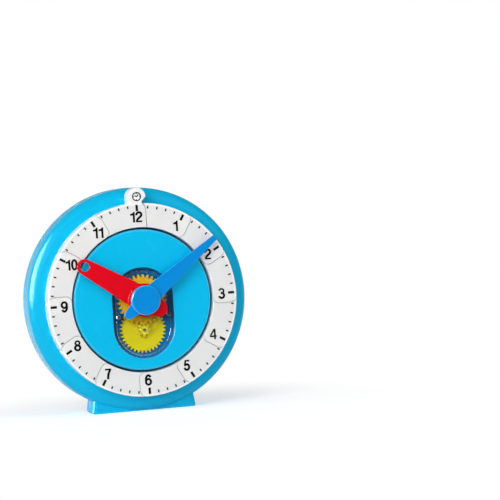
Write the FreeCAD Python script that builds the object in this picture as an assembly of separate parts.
import FreeCAD, Part
import math
import os

from FreeCAD import Vector

os.makedirs("parts", exist_ok=True)

# Geared teaching clock: a round plastic housing on a low foot, a ring of twelve
# hinged number-line segments lying in its front, and a window onto the gears.
#
# Every piece is drawn in the dial frame and moved once, when it is saved.
# Dial frame: origin on the hands' axis in the front face of the number line,
# X to the right, Z up, Y the depth behind that face. Lengths are millimetres.
# Angles are degrees clockwise from twelve o'clock, as seen from the front.

# --- Radii of the face, from the centre outwards ----------------------------
disc_radius = 79.8
disc_line_gap = 2.4
line_width = 27.3
rim_width = 17.5
line_inner_radius = disc_radius + disc_line_gap
line_outer_radius = line_inner_radius + line_width
housing_radius = line_outer_radius + rim_width

# --- Housing ---------------------------------------------------------------
shell_wall = 2.4
ledge_width = 15.0
ledge_radius = housing_radius - ledge_width
rim_edge_depth = 28.5
housing_back = 53.0
lip_cover = 1.3
lip_radius = line_outer_radius - lip_cover
cover_wall = 3.0
cover_edge_radius = 1.4
cover_spigot_wall = 2.0
cover_spigot_depth = 4.0
cover_panel_margin = 29.0
cover_panel_depth = 1.0
cover_rib_height = 8.0
cover_rib_wall = 1.8
cover_rib_start = 30.0
cover_rib_angles = (15, 45, 75, 105, 135, 225, 255, 285, 315, 345)

# --- Foot ------------------------------------------------------------------
foot_front = 25.2
foot_half_width = 61.7
foot_height = 26.0
foot_flare = 9.0
foot_upright_radius = 5.5
foot_sole_radius = 3.5
sole_drop = 0.4

# --- Balance weight at the bottom of the cover ------------------------------
weight_length = 100.0
weight_height = 26.0
weight_thickness = 8.0
weight_centre = 29.0 - housing_radius
weight_boss_height = 5.0
weight_boss_spacing = 70.0
weight_screw_length = 12.0
weight_corner_radius = 3.0

# --- Number line -----------------------------------------------------------
segment_count = 12
line_thickness = 17.2
line_edge_radius = 0.5
line_floor_gap = 0.3
segment_wall = 1.4
hinge_inset = 8.2
hinge_radius = line_outer_radius - hinge_inset
lobe_radius = 9.8
lobe_corner_radius = 6.8
lobe_plate = 4.6
joint_gap = 0.35
tongue_radius = 6.6
tongue_side_gap = 0.35
tongue_shoulder = 5.8
pin_radius = 3.0
pin_clearance = 0.06
pin_tip = 2.0
closing_side = 9.0
closing_relief_outer = 2.4
closing_relief_inner = 0.8
closing_relief_rise = 8.6
notch_radius = 1.3
tab_radius = 10.2
tab_rise = 7.15
tab_offset = -0.5
tab_neck_right = 5.0

# --- Number-line tray and gear frame ----------------------------------------
tray_wall = 2.2
tray_lip_gap = 0.3
tray_overlap = 9.9
tray_inner_radius = disc_radius - tray_overlap
tray_skirt = 11.5
tray_flange_width = 5.8
tray_flange_radius = lip_radius + tray_flange_width
tray_rib_height = 4.0
tray_rib_wall = 1.6
tray_rib_start = disc_radius + 0.5
tray_rib_count = 12
frame_arm_width = 9.0
frame_ear_radius = 5.0

# --- Centre disc, window and lens ------------------------------------------
disc_front = 2.0
disc_wall = 2.2
disc_edge_radius = 3.5
window_half_width = 35.6
window_top_centre = 1.2
window_bottom_centre = -31.2
window_edge_radius = 0.6
lens_gap = 0.3
lens_setback = 0.6
lens_wall = 1.8
lens_flange = 2.0
lens_flange_wall = 1.3
lens_bead_inset = 3.4
lens_bead_width = 1.6
lens_bead_height = 0.8
lens_bead_edge = 0.35
lens_screw_pad_radius = 5.0
lens_rim_width = 2.2
well_wall = 1.8

# --- Gear train ------------------------------------------------------------
gear_distance = 34.0
minute_pinion_teeth = 12
idler_wheel_teeth = 36
idler_pinion_teeth = 8
hour_wheel_teeth = 32
pressure_angle = 20.0
tooth_addendum = 0.94
tooth_dedendum = 1.2
tooth_thinning = 0.28
wheel_width = 3.5
wheel_gap = 1.2
pinion_overlap = 0.5
end_play = 0.3
lens_clearance = 0.7
wheel_hub_radius = 7.0
web_recess = 0.8
web_recess_inner = 9.5
web_recess_margin = 3.2
running_clearance = 0.05
push_clearance = 0.02

# --- Shafts and their bearings ---------------------------------------------
shaft_radius = 2.5
axle_radius = 1.5
hour_tube_radius = 4.5
shaft_boss_radius = 6.0
shaft_boss_length = 7.5
axle_boss_radius = 4.5
axle_boss_length = 4.5
lens_axle_boss_radius = 5.0
lens_collar_radius = 8.0
lens_collar_height = 0.6
clip_width = 0.8
clip_radius = 5.5
clip_groove = 0.5
clip_mouth = 3.4
shaft_tail = 1.4

# --- Hands -----------------------------------------------------------------
hand_wall = 2.2
hour_hand_rise = 3.5
hour_hand_centre = disc_radius - 1.5
hour_hand_end_radius = 8.8
hour_hand_root_half_width = 14.6
hour_hand_hub_radius = 13.0
hour_hand_boss_radius = 18.9
hour_hand_boss_height = 1.8
hour_hand_tail_centre = 19.8
hour_hand_tail_radius = 9.4
hour_hand_hub_depth = 3.6
finger_hole_radius = 5.4
hand_gap = 0.8
hand_play = 0.2
minute_hand_length = line_outer_radius - 1.5
minute_hand_step = disc_radius - 0.8
minute_hand_step_length = 5.0
minute_hand_step_drop = 0.9
minute_hand_root_half_width = 11.5
minute_hand_tip_half_width = 3.2
minute_hand_tip_corner = 1.2
minute_hand_tail_centre = 24.8
minute_hand_tail_radius = 5.0
minute_hand_tail_root = 9.8
hub_radius = 16.8
cap_height = 4.2
cap_wall = 1.6
cap_edge_radius = 1.6
cap_seat_gap = 0.1
cap_seat_wall = 1.4
cap_seat_height = 1.5
hand_edge_radius = 0.4
minute_hand_angle = 52.7
hour_hand_angle = 302.5

# --- Fasteners -------------------------------------------------------------
screw_shank_radius = 1.45
screw_bore_radius = 1.5
screw_hole_radius = 1.7
screw_head_radius = 2.75
screw_head_height = 1.9
screw_length = 9.0
screw_slot_width = 0.7
screw_slot_depth = 0.9
boss_radius = 4.0
lens_screw_x = 29.3
lens_screw_z = -18.0
lens_screw_length = 8.0
tray_screw_circle = lip_radius + 9.3
tray_screw_count = 6
tray_screw_start = 30.0
tray_ear_radius = 5.0
disc_screw_circle = disc_radius - 6.5
disc_screw_angles = (52.0, 128.0, 232.0, 308.0)
cover_screw_circle = housing_radius - 8.5
cover_screw_count = 6
cover_screw_start = 0.0
cover_cup_depth = 6.0
cover_cup_radius = 5.4
cover_cup_floor = 2.4
cover_head_clearance = 0.9
hub_screw_shank_radius = 1.25
hub_screw_length = 7.0
washer_radius = 4.6
washer_wall = 0.6

# --- Depths that follow from the sizes above --------------------------------
line_floor = line_thickness + line_floor_gap
tray_floor_back = line_floor + tray_wall
frame_ear_back = tray_floor_back + tray_wall
tray_flange_front = line_floor + tray_skirt
tray_flange_back = tray_flange_front + tray_wall
tray_radius = lip_radius - tray_lip_gap
ledge_back = line_floor + shell_wall
cover_back = housing_back + cover_wall
axis_height = housing_radius + sole_drop
foot_middle = (foot_front + cover_back) / 2
disc_back = disc_front + disc_wall
lens_front = disc_front + lens_setback
lens_back = lens_front + lens_wall
lens_flange_front = disc_back
lens_flange_back = lens_flange_front + lens_flange_wall
hour_wheel_front = lens_flange_back + lens_clearance
hour_wheel_back = hour_wheel_front + wheel_width
idler_wheel_front = hour_wheel_back + wheel_gap
idler_wheel_back = idler_wheel_front + wheel_width
minute_pinion_front = idler_wheel_front - pinion_overlap
minute_pinion_back = idler_wheel_back + pinion_overlap
hour_hub_back = minute_pinion_front - end_play
hub_rear = line_floor - end_play
shaft_boss_back = tray_floor_back + shaft_boss_length
axle_boss_back = tray_floor_back + axle_boss_length
weight_back = housing_back - weight_boss_height
weight_front = weight_back - weight_thickness
shaft_back = shaft_boss_back + end_play + clip_width + shaft_tail
hour_hand_back = -hour_hand_rise
hour_hand_front = hour_hand_back - hand_wall
hour_boss_front = hour_hand_front - hour_hand_boss_height
minute_hand_back = hour_boss_front - hand_gap
minute_hand_front = minute_hand_back - hand_wall
cap_front = minute_hand_front - cap_height
hour_tube_front = hour_boss_front + end_play
mid_depth = line_thickness / 2
overrun = 1.0

# --- Gear sizes --------------------------------------------------------------
fast_module = 2 * gear_distance / (minute_pinion_teeth + idler_wheel_teeth)
slow_module = 2 * gear_distance / (idler_pinion_teeth + hour_wheel_teeth)


# --- Drawing helpers ---------------------------------------------------------
ORIGIN = Vector(0, 0, 0)
DEPTH = Vector(0, 1, 0)
UP = Vector(0, 0, 1)


def on_dial(radius, angle, depth=0.0):
    """Point at a radius and a clock angle, at one depth."""
    turn = math.radians(angle)
    return Vector(radius * math.sin(turn), depth, radius * math.cos(turn))


def turned(shape, angle):
    """Copy of a shape turned clockwise about the hands' axis."""
    copy = shape.copy()
    copy.rotate(ORIGIN, DEPTH, angle)
    return copy


def rod(radius, front, back, x=0.0, z=0.0):
    """Round solid along the depth."""
    return Part.makeCylinder(radius, back - front, Vector(x, front, z), DEPTH)


def ring(outer, inner, front, back, x=0.0, z=0.0):
    """Tube along the depth."""
    return rod(outer, front, back, x, z).cut(rod(inner, front, back, x, z))


def block(low_x, high_x, low_z, high_z, front, back):
    """Rectangular solid between two depths."""
    corner = Vector(low_x, front, low_z)
    return Part.makeBox(high_x - low_x, back - front, high_z - low_z, corner)


def slab(edges, front, back):
    """Solid of a flat outline drawn at depth 0, between two depths."""
    face = Part.Face(Part.Wire(Part.__sortEdges__(edges)))
    solid = face.extrude(Vector(0, back - front, 0))
    solid.translate(Vector(0, front, 0))
    return solid


def lathe(edges):
    """Solid turned about the hands' axis from an outline of radius and depth."""
    face = Part.Face(Part.Wire(edges))
    return face.revolve(ORIGIN, DEPTH, 360)


def corner_line(start, end):
    return Part.LineSegment(start, end).toShape()


def arc_edge(start, middle, end):
    return Part.Arc(start, middle, end).toShape()


def polygon(points):
    """Closed outline through a list of points."""
    return [corner_line(a, b) for a, b in zip(points, points[1:] + points[:1])]


def fused(shapes):
    result = shapes[0]
    for shape in shapes[1:]:
        result = result.fuse(shape)
    return result.removeSplitter()


def front_edges(shape, depth):
    """Edges that lie flat in the plane at one depth."""
    chosen = []
    for edge in shape.Edges:
        box = edge.BoundBox
        if abs(box.YMin - depth) < 1e-4 and abs(box.YMax - depth) < 1e-4:
            chosen.append(edge)
    return chosen


def save(name, shape):
    """Place a piece in the part's frame and write it to its file."""
    placed = shape.copy()
    placed.translate(Vector(0, -foot_middle, axis_height))
    placed.exportStep(os.path.join("parts", name + ".step"))
    print(name, len(placed.Solids), placed.isValid(), round(placed.Volume, 1))


# --- Housing -----------------------------------------------------------------
def round_body(radius, front, edge_radius, edge_depth, back, start):
    """Round body whose front edge is a quarter ellipse down to the side wall."""
    bulge_radius = radius - edge_radius
    bulge_depth = edge_depth - front
    middle = Vector(edge_radius + bulge_radius * math.sin(math.pi / 4),
                    edge_depth - bulge_depth * math.cos(math.pi / 4), 0)
    centre = Vector(edge_radius, edge_depth, 0)
    side = Vector(radius, edge_depth, 0)
    top = Vector(edge_radius, front, 0)
    if bulge_radius > bulge_depth:
        ellipse = Part.Ellipse(side, top, centre)
    else:
        ellipse = Part.Ellipse(top, side, centre)
    span = sorted([ellipse.parameter(top), ellipse.parameter(side)])
    if span[1] - span[0] > math.pi:
        span = [span[1], span[0] + 2 * math.pi]
    curve = ellipse.toShape(span[0], span[1])
    assert curve.distToShape(Part.Vertex(middle))[0] < 1e-3
    outline = [
        corner_line(Vector(0, start, 0), Vector(edge_radius, start, 0)),
        corner_line(side, Vector(radius, back, 0)),
        corner_line(Vector(radius, back, 0), Vector(0, back, 0)),
        corner_line(Vector(0, back, 0), Vector(0, start, 0)),
        curve,
    ]
    if start < front:
        outline.append(corner_line(Vector(edge_radius, start, 0), top))
    return lathe(Part.__sortEdges__(outline))


def foot_block(inset, front, back):
    """Foot: flared outline with rounded sole corners and rounded upright edges."""
    sole = -axis_height + inset
    head = -axis_height + foot_height - inset
    lean = math.tan(math.radians(foot_flare))
    bottom = foot_half_width - inset
    top = bottom - (head - sole) * lean
    radius = max(foot_sole_radius - inset, 0.5)
    prism = slab(polygon([
        Vector(-bottom, 0, sole),
        Vector(bottom, 0, sole),
        Vector(top, 0, head),
        Vector(-top, 0, head),
    ]), front, back)
    soles = [edge for edge in prism.Edges
             if abs(edge.BoundBox.YLength - (back - front)) < 1e-4
             and edge.BoundBox.ZMax < sole + 1e-3]
    upright = max(foot_upright_radius - inset, 0.5)
    uprights = [edge for edge in prism.Edges
                if edge.BoundBox.ZLength > (head - sole) / 2
                and edge.BoundBox.YMax < front + 1e-3]
    return prism.makeFillet(upright, uprights).common(prism.makeFillet(radius, soles))


def around(count, circle, start, maker):
    """Solids from maker(x, z), evenly spaced on a circle."""
    made = []
    for index in range(count):
        place = on_dial(circle, start + index * 360.0 / count)
        made.append(maker(place.x, place.z))
    return made


def front_housing():
    outer = round_body(housing_radius, line_floor, ledge_radius, rim_edge_depth,
                       housing_back, line_floor)
    inner = round_body(housing_radius - shell_wall, ledge_back, ledge_radius,
                       rim_edge_depth, housing_back + overrun, ledge_back)
    opening = rod(lip_radius, line_floor - overrun, ledge_back + overrun)
    foot = foot_block(0, foot_front, housing_back)
    round_space = rod(housing_radius, 0, housing_back + 2 * overrun)
    pocket = foot_block(shell_wall, foot_front + shell_wall, housing_back + overrun)
    shell = outer.fuse(foot).cut(inner).cut(opening).cut(pocket.cut(round_space))
    tray_posts = around(
        tray_screw_count, tray_screw_circle, tray_screw_start,
        lambda x, z: rod(boss_radius, line_floor, tray_flange_front, x, z))
    cover_posts = around(
        cover_screw_count, cover_screw_circle, cover_screw_start,
        lambda x, z: rod(boss_radius, line_floor, housing_back - cup_reach(), x, z))
    for post in tray_posts + cover_posts:
        shell = shell.fuse(post.common(outer))
    bores = around(
        tray_screw_count, tray_screw_circle, tray_screw_start,
        lambda x, z: rod(screw_bore_radius, tray_flange_front - screw_length,
                         tray_flange_front + overrun, x, z).cut(
            rod(boss_radius, 0, ledge_back + shell_wall, x, z)))
    bores += around(
        cover_screw_count, cover_screw_circle, cover_screw_start,
        lambda x, z: rod(screw_bore_radius,
                         housing_back - cup_reach() - screw_length,
                         housing_back, x, z))
    for bore in bores:
        shell = shell.cut(bore)
    return shell.removeSplitter()


def cup_reach():
    """How far the cover's screw cups reach in front of the parting plane."""
    return cover_cup_depth + cover_cup_floor - cover_wall


def rear_cover():
    disc = rod(housing_radius, housing_back, cover_back)
    foot = foot_block(0, housing_back - 4 * foot_upright_radius, cover_back)
    foot = foot.common(block(-housing_radius, housing_radius, -axis_height,
                             housing_radius, housing_back, cover_back))
    plate = disc.fuse(foot).removeSplitter()
    plate = plate.makeFillet(cover_edge_radius, front_edges(plate, cover_back))
    panel = rod(housing_radius - cover_panel_margin, cover_back - cover_panel_depth,
                cover_back + overrun)
    plate = plate.cut(panel)
    spigot_radius = housing_radius - shell_wall - joint_gap
    spigot = ring(spigot_radius, spigot_radius - cover_spigot_wall,
                  housing_back - cover_spigot_depth, housing_back)
    plate = plate.fuse(spigot)
    rib = block(-cover_rib_wall / 2, cover_rib_wall / 2, cover_rib_start,
                spigot_radius - cover_spigot_wall / 2,
                housing_back - cover_rib_height, housing_back)
    rib = rib.common(lathe(polygon([
        Vector(0, housing_back, 0),
        Vector(0, housing_back - cover_rib_height, 0),
        Vector(spigot_radius - 2 * cover_rib_height, housing_back - cover_rib_height, 0),
        Vector(spigot_radius, housing_back - cover_spigot_depth, 0),
        Vector(spigot_radius, housing_back, 0),
    ])))
    for angle in cover_rib_angles:
        plate = plate.fuse(turned(rib, angle))
    plate = plate.fuse(ring(cover_rib_start + cover_rib_wall, cover_rib_start,
                            housing_back - cover_rib_height, housing_back))
    for side in (-1, 1):
        plate = plate.fuse(rod(boss_radius, weight_back, housing_back,
                               side * weight_boss_spacing / 2, weight_centre))
    cups = around(
        cover_screw_count, cover_screw_circle, cover_screw_start,
        lambda x, z: rod(cover_cup_radius, housing_back - cup_reach(),
                         housing_back, x, z))
    for cup in cups:
        plate = plate.fuse(cup.common(rod(spigot_radius, 0, cover_back)))
    recesses = around(
        cover_screw_count, cover_screw_circle, cover_screw_start,
        lambda x, z: rod(screw_head_radius + cover_head_clearance,
                         cover_back - cover_cup_depth, cover_back + overrun, x, z))
    holes = around(
        cover_screw_count, cover_screw_circle, cover_screw_start,
        lambda x, z: rod(screw_hole_radius, housing_back - cup_reach() - overrun,
                         cover_back, x, z))
    for side in (-1, 1):
        holes.append(rod(screw_bore_radius, weight_back - overrun,
                         weight_front + weight_screw_length + overrun / 2,
                         side * weight_boss_spacing / 2, weight_centre))
    for cutter in recesses + holes:
        plate = plate.cut(cutter)
    return plate.removeSplitter()


def balance_weight():
    """Steel bar that keeps the clock's weight behind the foot's front edge."""
    bar = block(-weight_length / 2, weight_length / 2,
                weight_centre - weight_height / 2, weight_centre + weight_height / 2,
                weight_front, weight_back)
    corners = [edge for edge in bar.Edges
               if abs(edge.BoundBox.YLength - weight_thickness) < 1e-4]
    bar = bar.makeFillet(weight_corner_radius, corners)
    for side in (-1, 1):
        bar = bar.cut(rod(screw_hole_radius, weight_front - overrun,
                          weight_back + overrun,
                          side * weight_boss_spacing / 2, weight_centre))
    return bar


# --- Stadium shapes of the window ----------------------------------------------
def stadium(half_width, front, back):
    """Upright slot-shaped solid about the window's two centres."""
    left_low = Vector(-half_width, 0, window_bottom_centre)
    right_low = Vector(half_width, 0, window_bottom_centre)
    left_high = Vector(-half_width, 0, window_top_centre)
    right_high = Vector(half_width, 0, window_top_centre)
    crown = Vector(0, 0, window_top_centre + half_width)
    base = Vector(0, 0, window_bottom_centre - half_width)
    return slab([
        corner_line(left_low, left_high),
        arc_edge(left_high, crown, right_high),
        corner_line(right_high, right_low),
        arc_edge(right_low, base, left_low),
    ], front, back)


def number_line_tray():
    """Floor under the number line, with a skirt and a flange behind it."""
    pieces = [
        ring(tray_radius, tray_inner_radius, line_floor, tray_floor_back),
        ring(tray_radius, tray_radius - tray_wall, line_floor, tray_flange_back),
        ring(tray_flange_radius, tray_radius - tray_wall,
             tray_flange_front, tray_flange_back),
    ]
    pieces += around(
        tray_screw_count, tray_screw_circle, tray_screw_start,
        lambda x, z: rod(tray_ear_radius, tray_flange_front, tray_flange_back, x, z))
    rib = block(-tray_rib_wall / 2, tray_rib_wall / 2, tray_rib_start,
                tray_radius - tray_wall / 2, tray_floor_back,
                tray_floor_back + tray_rib_height)
    for index in range(tray_rib_count):
        pieces.append(turned(rib, (index + 0.5) * 360.0 / tray_rib_count))
    tray = fused(pieces)
    cutters = around(
        tray_screw_count, tray_screw_circle, tray_screw_start,
        lambda x, z: rod(screw_hole_radius, tray_flange_front - overrun,
                         tray_flange_back + overrun, x, z))
    for angle in disc_screw_angles:
        place = on_dial(disc_screw_circle, angle)
        cutters.append(rod(screw_hole_radius, line_floor - overrun,
                           tray_floor_back + overrun, place.x, place.z))
    for cutter in cutters:
        tray = tray.cut(cutter)
    return tray


def gear_frame():
    """Pan behind the window that carries both shafts, on four arms."""
    well_inner = window_half_width + lens_gap
    pan = stadium(well_inner + well_wall, lens_flange_back, tray_floor_back)
    pieces = [pan.cut(stadium(well_inner, 0, line_floor))]
    for side in (-1, 1):
        pieces.append(rod(boss_radius - lens_gap, lens_back, line_floor,
                          side * lens_screw_x, lens_screw_z))
    arm = block(-frame_arm_width / 2, frame_arm_width / 2, 0, disc_screw_circle,
                tray_floor_back, frame_ear_back)
    for angle in disc_screw_angles:
        place = on_dial(disc_screw_circle, angle)
        pieces.append(turned(arm, angle))
        pieces.append(rod(frame_ear_radius, tray_floor_back, frame_ear_back,
                          place.x, place.z))
    pieces.append(rod(shaft_boss_radius, tray_floor_back, shaft_boss_back))
    pieces.append(rod(axle_boss_radius, tray_floor_back, axle_boss_back,
                      0, -gear_distance))
    frame = fused(pieces)
    cutters = [
        rod(shaft_radius + running_clearance, 0, shaft_boss_back + overrun),
        rod(axle_radius + push_clearance, 0, axle_boss_back - overrun,
            0, -gear_distance),
    ]
    for angle in disc_screw_angles:
        place = on_dial(disc_screw_circle, angle)
        cutters.append(rod(screw_hole_radius, tray_floor_back - overrun,
                           frame_ear_back + overrun, place.x, place.z))
    for side in (-1, 1):
        cutters.append(rod(screw_bore_radius, 0,
                           lens_back + lens_screw_length + overrun,
                           side * lens_screw_x, lens_screw_z))
    for cutter in cutters:
        frame = frame.cut(cutter)
    return frame


def centre_disc():
    edge_centre = disc_front + disc_edge_radius
    outer = round_body(disc_radius, disc_front, disc_radius - disc_edge_radius,
                       edge_centre, line_floor, disc_front)
    inner = rod(disc_radius - disc_wall, disc_back, line_floor + overrun)
    inner = inner.makeFillet(disc_edge_radius - disc_wall / 2,
                             front_edges(inner, disc_back))
    window = stadium(window_half_width, 0, line_floor)
    disc = outer.cut(inner).cut(window)
    rim = [edge for edge in front_edges(disc, disc_front)
           if edge.BoundBox.XMax < window_half_width + 1.0]
    disc = disc.makeFillet(window_edge_radius, rim)
    for angle in disc_screw_angles:
        place = on_dial(disc_screw_circle, angle)
        disc = disc.fuse(rod(boss_radius, disc_back, line_floor, place.x, place.z))
        disc = disc.cut(rod(screw_bore_radius,
                            frame_ear_back - screw_length - overrun,
                            line_floor + overrun, place.x, place.z))
    return disc.removeSplitter()


def window_lens():
    panel_half = window_half_width - lens_gap
    panel = stadium(panel_half, lens_front, lens_flange_back)
    flange = stadium(window_half_width + lens_flange - lens_gap,
                     lens_flange_front, lens_flange_back)
    hollow = stadium(panel_half - lens_rim_width, lens_back,
                     lens_flange_back + overrun)
    bead_half = panel_half - lens_bead_inset
    bead = stadium(bead_half, lens_front - lens_bead_height, lens_front)
    bead = bead.cut(stadium(bead_half - lens_bead_width, 0, lens_flange_back))
    bead_front = lens_front - lens_bead_height
    bead = bead.makeFillet(lens_bead_edge, front_edges(bead, bead_front))
    for side in (-1, 1):
        bead = bead.cut(rod(lens_screw_pad_radius, 0, lens_flange_back,
                            side * lens_screw_x, lens_screw_z))
    lens = panel.fuse(flange).cut(hollow).fuse(bead)
    lens = lens.fuse(rod(lens_collar_radius, lens_front - lens_collar_height,
                         lens_flange_back))
    lens = lens.fuse(rod(lens_axle_boss_radius, bead_front,
                         lens_flange_back, 0, -gear_distance))
    cutters = [
        rod(hour_tube_radius + running_clearance, 0, lens_flange_back + overrun),
        rod(axle_radius + running_clearance, 0, lens_flange_back + overrun,
            0, -gear_distance),
    ]
    for side in (-1, 1):
        cutters.append(rod(screw_hole_radius, 0, lens_flange_back + overrun,
                           side * lens_screw_x, lens_screw_z))
    for cutter in cutters:
        lens = lens.cut(cutter)
    return lens.removeSplitter()


# --- Gears ---------------------------------------------------------------------
def involute(angle):
    return math.tan(angle) - angle


def tooth_half_angle(radius, teeth, module):
    """Half of a tooth's angle, in radians, at one radius of an involute gear."""
    pitch_radius = module * teeth / 2
    pressure = math.radians(pressure_angle)
    base_radius = pitch_radius * math.cos(pressure)
    at_pitch = math.pi / (2 * teeth) - tooth_thinning / (2 * pitch_radius)
    rolling = math.acos(min(1.0, base_radius / max(radius, base_radius)))
    return at_pitch + involute(pressure) - involute(rolling)


def toothed(teeth, module, front, back, first_tooth):
    """Toothed blank; first_tooth is the clock angle of one tooth's middle."""
    pitch_radius = module * teeth / 2
    tip = pitch_radius + tooth_addendum * module
    root = pitch_radius - tooth_dedendum * module
    middle = (tip + root) / 2
    halves = [math.degrees(tooth_half_angle(r, teeth, module))
              for r in (root, middle, tip)]
    pitch = 360.0 / teeth
    edges = []
    for index in range(teeth):
        tooth = first_tooth + index * pitch
        left = [on_dial(r, tooth - half)
                for r, half in zip((root, middle, tip), halves)]
        right = [on_dial(r, tooth + half)
                 for r, half in zip((root, middle, tip), halves)]
        edges.append(arc_edge(left[0], left[1], left[2]))
        edges.append(arc_edge(left[2], on_dial(tip, tooth), right[2]))
        edges.append(arc_edge(right[2], right[1], right[0]))
        edges.append(arc_edge(right[0], on_dial(root, tooth + pitch / 2),
                              on_dial(root, tooth + pitch - halves[0])))
    return slab(edges, front, back)


def web_groove(module, teeth, depth_from, depth_to):
    """Shallow ring cut into a wheel's web, inside its toothed rim."""
    outer = module * teeth / 2 - tooth_dedendum * module - web_recess_margin
    return ring(outer, web_recess_inner, depth_from, depth_to)


def hour_wheel():
    below = 180.0
    wheel = toothed(hour_wheel_teeth, slow_module, hour_wheel_front,
                    hour_wheel_back, below + 180.0 / hour_wheel_teeth)
    wheel = wheel.fuse(rod(wheel_hub_radius, lens_flange_back + end_play,
                           hour_hub_back))
    wheel = wheel.fuse(rod(hour_tube_radius, hour_tube_front, hour_wheel_front))
    wheel = wheel.cut(web_groove(slow_module, hour_wheel_teeth,
                                 hour_wheel_back - web_recess,
                                 hour_wheel_back + overrun))
    bore = rod(shaft_radius + running_clearance, hour_tube_front - overrun,
               hour_hub_back + overrun)
    return wheel.cut(bore).removeSplitter()


def idler_gear():
    wheel = toothed(idler_wheel_teeth, fast_module, idler_wheel_front,
                    idler_wheel_back, 180.0 / idler_wheel_teeth)
    pinion = toothed(idler_pinion_teeth, slow_module,
                     lens_flange_back + end_play, idler_wheel_front, 0.0)
    hub = rod(wheel_hub_radius, idler_wheel_back, hub_rear)
    groove = web_groove(fast_module, idler_wheel_teeth,
                        idler_wheel_back - web_recess, idler_wheel_back + overrun)
    gear = wheel.cut(groove).fuse(pinion).fuse(hub)
    gear = gear.cut(rod(axle_radius + running_clearance, 0, hub_rear + overrun))
    gear.translate(Vector(0, 0, -gear_distance))
    return gear.removeSplitter()


def minute_pinion():
    pinion = toothed(minute_pinion_teeth, fast_module, minute_pinion_front,
                     minute_pinion_back, 180.0)
    pinion = pinion.fuse(rod(shaft_boss_radius, minute_pinion_back, hub_rear))
    bore = rod(shaft_radius + push_clearance, 0, line_floor)
    return pinion.cut(bore).removeSplitter()


# --- Shafts ----------------------------------------------------------------------
def minute_shaft():
    shaft = rod(shaft_radius, minute_hand_front, shaft_back)
    groove_front = shaft_boss_back + end_play
    groove = ring(shaft_radius + overrun, shaft_radius - clip_groove,
                  groove_front, groove_front + clip_width)
    tapped = rod(hub_screw_shank_radius + push_clearance, minute_hand_front - overrun,
                 minute_hand_front + hub_screw_length + overrun)
    return shaft.cut(groove).cut(tapped)


def shaft_clip():
    """Spring clip in the shaft's groove, open on one side."""
    front = shaft_boss_back + end_play + push_clearance
    back = shaft_boss_back + end_play + clip_width - push_clearance
    clip = ring(clip_radius, shaft_radius - clip_groove + push_clearance, front, back)
    mouth = block(0, clip_radius + overrun, -clip_mouth / 2, clip_mouth / 2,
                  front - overrun, back + overrun)
    return clip.cut(mouth)


def idler_axle():
    return rod(axle_radius, lens_front, axle_boss_back - overrun, 0, -gear_distance)


# --- Hands -----------------------------------------------------------------------
def tapered_bar(root_half, tip_half, root_z, tip_z, front, back):
    """Flat bar along Z whose half width changes evenly."""
    return slab(polygon([
        Vector(-root_half, 0, root_z),
        Vector(root_half, 0, root_z),
        Vector(tip_half, 0, tip_z),
        Vector(-tip_half, 0, tip_z),
    ]), front, back)


def round_end_bar(root_half, root_z, end_radius, end_z, front, back):
    """Bar from a straight root to a round end, with sides tangent to the end."""
    sign = 1 if end_z > root_z else -1
    length = abs(end_z - root_z)
    reach = math.hypot(length, root_half)
    tilt = math.acos(end_radius / reach) + math.atan2(root_half, length)
    touch_x = end_radius * math.sin(tilt)
    touch_z = end_z - sign * end_radius * math.cos(tilt)
    right = Vector(touch_x, 0, touch_z)
    left = Vector(-touch_x, 0, touch_z)
    end = Vector(0, 0, end_z + sign * end_radius)
    root_right = Vector(root_half, 0, root_z)
    root_left = Vector(-root_half, 0, root_z)
    return slab([
        corner_line(root_left, root_right),
        corner_line(root_right, right),
        arc_edge(right, end, left),
        corner_line(left, root_left),
    ], front, back)


def hour_hand():
    front = hour_hand_front
    back = hour_hand_back
    arm = round_end_bar(hour_hand_root_half_width, 0, hour_hand_end_radius,
                        hour_hand_centre, front, back)
    tail = round_end_bar(hour_hand_root_half_width, 0, hour_hand_tail_radius,
                         -hour_hand_tail_centre, front, back)
    hub = rod(hour_hand_hub_radius, front, back)
    hand = fused([arm, tail, hub])
    hand = hand.cut(rod(finger_hole_radius, front - overrun, back + overrun,
                        0, hour_hand_centre))
    hand = hand.makeFillet(hand_edge_radius, front_edges(hand, front))
    boss = rod(hour_hand_boss_radius, hour_boss_front, back)
    boss = boss.makeFillet(hand_edge_radius, front_edges(boss, hour_boss_front))
    collar = rod(wheel_hub_radius, back, back + hour_hand_hub_depth)
    hand = hand.fuse(boss).fuse(collar)
    bore = rod(hour_tube_radius + push_clearance, hour_boss_front - overrun,
               back + hour_hand_hub_depth + overrun)
    return turned(hand.cut(bore), hour_hand_angle)


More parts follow.
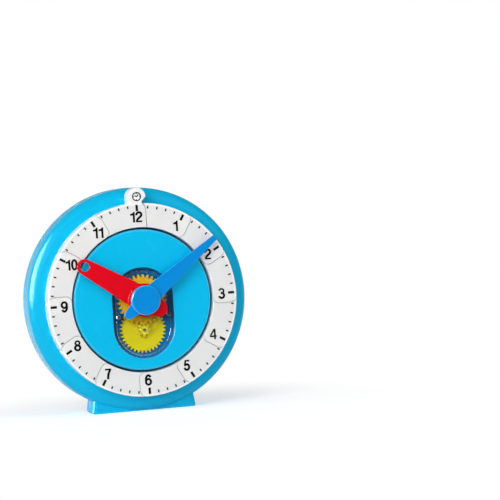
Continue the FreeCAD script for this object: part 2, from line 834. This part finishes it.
def minute_hand():
    front = minute_hand_front
    back = minute_hand_back
    low_front = front + minute_hand_step_drop
    ramp_end = minute_hand_step + minute_hand_step_length
    taper = ((minute_hand_root_half_width - minute_hand_tip_half_width)
             / minute_hand_length)
    step_half_width = minute_hand_root_half_width - taper * minute_hand_step
    arm = tapered_bar(minute_hand_root_half_width, minute_hand_tip_half_width,
                      0, minute_hand_length, front, back)
    arm = arm.makeFillet(hand_edge_radius, front_edges(arm, front))
    side_view = Part.Face(Part.Wire(polygon([
        Vector(0, front, 0),
        Vector(0, front, minute_hand_step),
        Vector(0, low_front, ramp_end),
        Vector(0, back, ramp_end),
        Vector(0, back, 0),
    ])))
    ramped = side_view.extrude(Vector(4 * hub_radius, 0, 0))
    ramped.translate(Vector(-2 * hub_radius, 0, 0))
    pointer = tapered_bar(step_half_width, minute_hand_tip_half_width,
                          minute_hand_step, minute_hand_length, low_front, back)
    tip_edges = [edge for edge in pointer.Edges
                 if abs(edge.BoundBox.YLength - (back - low_front)) < 1e-4
                 and edge.BoundBox.ZMin > minute_hand_length - 1e-3]
    pointer = pointer.makeFillet(minute_hand_tip_corner, tip_edges)
    pointer = pointer.makeFillet(hand_edge_radius, front_edges(pointer, low_front))
    bar = arm.common(ramped).fuse(pointer)
    hub = rod(hub_radius, front, back)
    tail = round_end_bar(minute_hand_tail_root, -shaft_boss_radius,
                         minute_hand_tail_radius, -minute_hand_tail_centre,
                         front, back)
    tail = tail.makeFillet(hand_edge_radius, front_edges(tail, front))
    collar = rod(shaft_boss_radius, back, hour_boss_front - hand_play)
    seat_radius = hub_radius - cap_wall - cap_seat_gap
    seat = ring(seat_radius, seat_radius - cap_seat_wall, front - cap_seat_height, front)
    hand = fused([bar, hub, tail, collar, seat])
    bore = rod(shaft_radius + push_clearance, front - overrun, 0)
    return turned(hand.cut(bore), minute_hand_angle)


def hub_cap():
    cap = rod(hub_radius, cap_front, minute_hand_front)
    cap = cap.makeFillet(cap_edge_radius, front_edges(cap, cap_front))
    hollow = rod(hub_radius - cap_wall, cap_front + cap_wall,
                 minute_hand_front + overrun)
    return cap.cut(hollow)


# --- Screws ------------------------------------------------------------------------
def screw(length, head_out, x, z, seat, shank=None, facing=1):
    """Pan-head screw; facing 1 is driven from behind, -1 from the front."""
    shank_radius = shank or screw_shank_radius
    head_height = screw_head_height
    head = Part.makeCylinder(screw_head_radius, head_height, ORIGIN, DEPTH)
    dome = front_edges(head, head_height)
    head = head.makeFillet(head_height * 0.45, dome)
    for angle in (0, 90):
        slot = block(-screw_head_radius * 0.6, screw_head_radius * 0.6,
                     -screw_slot_width / 2, screw_slot_width / 2,
                     head_height - screw_slot_depth, head_height + overrun)
        head = head.cut(turned(slot, angle))
    shank_solid = Part.makeCylinder(shank_radius, length, Vector(0, -length, 0), DEPTH)
    made = head.fuse(shank_solid).removeSplitter()
    made.translate(Vector(0, head_out, 0))
    if facing < 0:
        made.rotate(ORIGIN, UP, 180)
    made.translate(Vector(x, seat, z))
    return made


def group(solids):
    return Part.makeCompound(solids)


def tray_screws():
    return group(around(
        tray_screw_count, tray_screw_circle, tray_screw_start,
        lambda x, z: screw(screw_length - shell_wall, 0, x, z, tray_flange_back)))


def cover_screws():
    seat = cover_back - cover_cup_depth
    return group(around(
        cover_screw_count, cover_screw_circle, cover_screw_start,
        lambda x, z: screw(screw_length, 0, x, z, seat)))


def disc_screws():
    made = []
    for angle in disc_screw_angles:
        place = on_dial(disc_screw_circle, angle)
        made.append(screw(screw_length, 0, place.x, place.z, frame_ear_back))
    return group(made)


def weight_screws():
    return group([screw(weight_screw_length, 0, side * weight_boss_spacing / 2,
                        weight_centre, weight_front, facing=-1) for side in (-1, 1)])


def lens_screws():
    return group([screw(lens_screw_length, 0, side * lens_screw_x, lens_screw_z,
                        lens_front, facing=-1) for side in (-1, 1)])


def hub_screw():
    return screw(hub_screw_length, 0, 0, 0, minute_hand_front - washer_wall,
                 shank=hub_screw_shank_radius, facing=-1)


def hub_washer():
    return ring(washer_radius, hub_screw_shank_radius + push_clearance,
                minute_hand_front - washer_wall, minute_hand_front)


# --- Number-line segments -------------------------------------------------------------
def hinge_arc(side):
    """Top and middle of an arc about the hinge, from the rim to its level."""
    outer = line_outer_radius + overrun
    top_z = (outer ** 2 - side ** 2 + hinge_radius ** 2) / (2 * hinge_radius)
    top_z = min(top_z, hinge_radius + side)
    top_x = math.sqrt(max(side ** 2 - (top_z - hinge_radius) ** 2, 0.0))
    turn = math.atan2(top_z - hinge_radius, top_x) / 2
    half_way = Vector(side * math.cos(turn), 0, hinge_radius + side * math.sin(turn))
    return Vector(top_x, 0, top_z), half_way


def joint_curve(gap):
    """Edges of one joint line at twelve o'clock, from the outer to the inner rim.

    The outer part is an arc about the hinge, so that it slides on its neighbour
    as the line unfolds. A straight piece and a corner arc finish it. The gap
    moves the line clockwise, for the facing edge of the next segment.
    """
    side = lobe_radius + gap
    corner = lobe_corner_radius + gap
    corner_x = lobe_radius - lobe_corner_radius
    corner_reach = line_inner_radius + lobe_corner_radius
    corner_z = math.sqrt(corner_reach ** 2 - corner_x ** 2)
    top, half_way = hinge_arc(side)
    shoulder = Vector(side, 0, hinge_radius)
    heel = Vector(side, 0, corner_z)
    low_turn = -math.pi / 2
    toe = Vector(corner_x, 0, corner_z - corner)
    knee = Vector(corner_x + corner * math.cos(low_turn / 2), 0,
                  corner_z + corner * math.sin(low_turn / 2))
    below = Vector(corner_x, 0, 0)
    edges = [
        arc_edge(top, half_way, shoulder),
        corner_line(shoulder, heel),
        arc_edge(heel, knee, toe),
        corner_line(toe, below),
    ]
    return edges, top, below


def closing_curve(gap):
    """Edges of the line where the last segment meets the first.

    These two ends aren't hinged together. Below the arc the line runs straight
    to the inner rim, so that either end can swing out past the other.
    """
    side = closing_side + gap
    top, half_way = hinge_arc(side)
    shoulder = Vector(side, 0, hinge_radius)
    below = Vector(side, 0, 0)
    edges = [arc_edge(top, half_way, shoulder), corner_line(shoulder, below)]
    return edges, top, below


def joint_side(curve, front, back, reach_left):
    """Solid of everything counter-clockwise of a joint line at twelve."""
    edges, top, below = curve
    high = Vector(top.x, 0, line_outer_radius + tab_rise)
    far_high = Vector(-reach_left, 0, high.z)
    far_low = Vector(-reach_left, 0, below.z)
    edges = edges + [
        corner_line(below, far_low),
        corner_line(far_low, far_high),
        corner_line(far_high, high),
        corner_line(high, top),
    ]
    return slab(edges, front, back)


def pitch_wedge(front, back, spread):
    """Wedge of the ring about one segment, reaching a little past both joints."""
    reach = 2 * line_outer_radius
    middle = -180.0 / segment_count
    half = 180.0 / segment_count + spread
    return slab(polygon([
        ORIGIN,
        on_dial(reach, middle - half),
        on_dial(reach, middle),
        on_dial(reach, middle + half),
    ]), front, back)


def ring_blank(front, back):
    return ring(line_outer_radius, line_inner_radius, front, back)


def segment_plan(front, back, first, last):
    """Full outline of a segment whose clockwise end is at twelve o'clock."""
    pitch = 360.0 / segment_count
    reach = 2 * lobe_radius
    blank = ring_blank(front, back)
    blank = blank.makeFillet(line_edge_radius, front_edges(blank, front))
    blank = blank.common(pitch_wedge(front, back, 8.0))
    end = closing_curve(0) if last else joint_curve(0)
    start = closing_curve(joint_gap) if first else joint_curve(joint_gap)
    keep = joint_side(end, front - overrun, back + overrun, line_outer_radius)
    drop = joint_side(start, front - overrun, back + overrun, reach)
    plan = blank.common(keep).cut(turned(drop, -pitch))
    notch = joint_notch(front, back)
    if not last:
        plan = plan.cut(notch)
    if first:
        return plan.cut(turned(opening_relief(front, back), -pitch))
    return plan.cut(turned(notch, -pitch))


def joint_notch(front, back):
    """Small round nicks where a joint line meets the inner and outer rims."""
    corner_x = lobe_radius - lobe_corner_radius
    inner_x = corner_x + math.sqrt(2 * lobe_corner_radius * joint_gap)
    inner_z = math.sqrt(line_inner_radius ** 2 - inner_x ** 2) - notch_radius / 2
    outer_x = lobe_radius / 2
    outer_z = math.sqrt(line_outer_radius ** 2 - outer_x ** 2) + notch_radius / 2
    nick = rod(notch_radius, front - overrun, back + overrun, inner_x, inner_z)
    return nick.fuse(rod(notch_radius, front - overrun, back + overrun,
                         outer_x, outer_z))


def fork_space(front, back):
    """Space between the two lobe plates, where the next tongue turns."""
    eye = rod(tongue_radius + joint_gap, front, back, 0, hinge_radius)
    side = block(0, 2 * lobe_radius, line_inner_radius - 4 * overrun,
                 line_outer_radius + overrun, front, back)
    return eye.fuse(side)


def tongue(front, back):
    """Tongue of the segment that follows the joint at twelve o'clock."""
    eye = rod(tongue_radius, front, back, 0, hinge_radius)
    neck = block(joint_gap, lobe_radius + 2 * overrun,
                 line_inner_radius - 2 * overrun, hinge_radius + tongue_shoulder,
                 front, back)
    return eye.fuse(neck.common(ring_blank(front, back)))


def tab(front, back, inset=0.0):
    """Round finger tab beyond the outer rim of the last segment."""
    centre_z = line_outer_radius + tab_rise
    radius = tab_radius - inset
    head = rod(radius, front, back, tab_offset, centre_z)
    low_z = line_outer_radius - 2 * overrun - 2 * inset
    neck = slab(polygon([
        Vector(tab_offset - radius, 0, centre_z),
        Vector(tab_offset + radius, 0, centre_z),
        Vector(tab_neck_right - inset, 0, centre_z - radius / 2),
        Vector(tab_neck_right - inset, 0, low_z),
        Vector(tab_offset - radius, 0, low_z),
    ]), front, back)
    lower = block(tab_offset - 2 * radius, tab_offset + 2 * radius,
                  low_z - radius, centre_z, front, back)
    return head.cut(lower).fuse(neck)


def opening_relief(front, back):
    """Wedges cut from the first segment so that it and the last part freely."""
    side = closing_side + joint_gap
    outer = slab(polygon([
        Vector(0, 0, line_outer_radius + 2 * overrun),
        Vector(side - closing_relief_outer, 0, line_outer_radius + 2 * overrun),
        Vector(side, 0, hinge_radius + overrun),
        Vector(0, 0, hinge_radius),
    ]), front, back)
    inner_z = line_inner_radius - 2 * overrun
    inner = slab(polygon([
        Vector(0, 0, inner_z),
        Vector(side + closing_relief_inner, 0, inner_z),
        Vector(side, 0, line_inner_radius + closing_relief_rise),
        Vector(0, 0, line_inner_radius + closing_relief_rise),
    ]), front, back)
    return outer.fuse(inner)


def segment_half(number, front_half):
    """One moulded half of a segment, with its clockwise end at twelve."""
    pitch = 360.0 / segment_count
    first = number == 1
    last = number == segment_count
    face, seam = 0.0, mid_depth
    body = segment_plan(face, seam, first, last)
    tongue_face = lobe_plate + tongue_side_gap
    if last:
        body = body.fuse(tab(face, seam)).removeSplitter()
    else:
        body = body.cut(fork_space(lobe_plate, seam + overrun))
    if not first:
        body = body.fuse(turned(tongue(tongue_face, seam), -pitch))
    body = body.cut(segment_cavity(segment_wall, seam + overrun, first, last))
    if not first:
        bore = rod(pin_radius + pin_clearance, tongue_face - overrun,
                   seam + overrun, 0, hinge_radius)
        body = body.cut(turned(bore, -pitch))
    if not last and front_half:
        pin = rod(pin_radius, lobe_plate - overrun,
                  line_thickness - lobe_plate + pin_tip, 0, hinge_radius)
        body = body.fuse(pin)
    if not last and not front_half:
        socket = rod(pin_radius + pin_clearance, lobe_plate - pin_tip - overrun,
                     seam, 0, hinge_radius)
        body = body.cut(socket)
    body = body.removeSplitter()
    if not front_half:
        body = body.mirror(Vector(0, mid_depth, 0), DEPTH)
    return turned(body, number * pitch)


def segment_cavity(front, back, first, last):
    """Hollow of a half, one wall inside the outline and clear of both joints."""
    pitch = 360.0 / segment_count
    hollow = ring(line_outer_radius - segment_wall,
                  line_inner_radius + segment_wall, front, back)
    hollow = hollow.common(pitch_wedge(front, back, 8.0))
    reach = 2 * lobe_radius
    offset = joint_gap + segment_wall
    start = closing_curve(offset) if first else joint_curve(offset)
    hollow = hollow.cut(turned(joint_side(start, front, back, reach), -pitch))
    if last:
        end = closing_curve(-segment_wall)
        hollow = hollow.common(joint_side(end, front, back, line_outer_radius))
        return hollow.fuse(tab(front, back, segment_wall))
    wall = rod(tongue_radius + offset, front, back, 0, hinge_radius)
    wall = wall.fuse(block(-segment_wall, 3 * lobe_radius,
                           line_inner_radius - 4 * overrun,
                           line_outer_radius + overrun, front, back))
    return hollow.cut(wall)


# --- Save every piece -------------------------------------------------------------------
save("front_housing", front_housing())
save("rear_cover", rear_cover())
save("balance_weight", balance_weight())
save("weight_screws", weight_screws())
save("number_line_tray", number_line_tray())
save("gear_frame", gear_frame())
save("centre_disc", centre_disc())
save("window_lens", window_lens())
save("lens_screws", lens_screws())
save("disc_screws", disc_screws())
save("tray_screws", tray_screws())
save("cover_screws", cover_screws())
save("idler_axle", idler_axle())
save("idler_gear", idler_gear())
save("hour_wheel", hour_wheel())
save("hour_hand", hour_hand())
save("minute_shaft", minute_shaft())
save("minute_pinion", minute_pinion())
save("shaft_clip", shaft_clip())
save("minute_hand", minute_hand())
save("hub_washer", hub_washer())
save("hub_screw", hub_screw())
save("hub_cap", hub_cap())
for number in range(1, segment_count + 1):
    save("segment_%02d_front" % number, segment_half(number, True))
    save("segment_%02d_back" % number, segment_half(number, False))
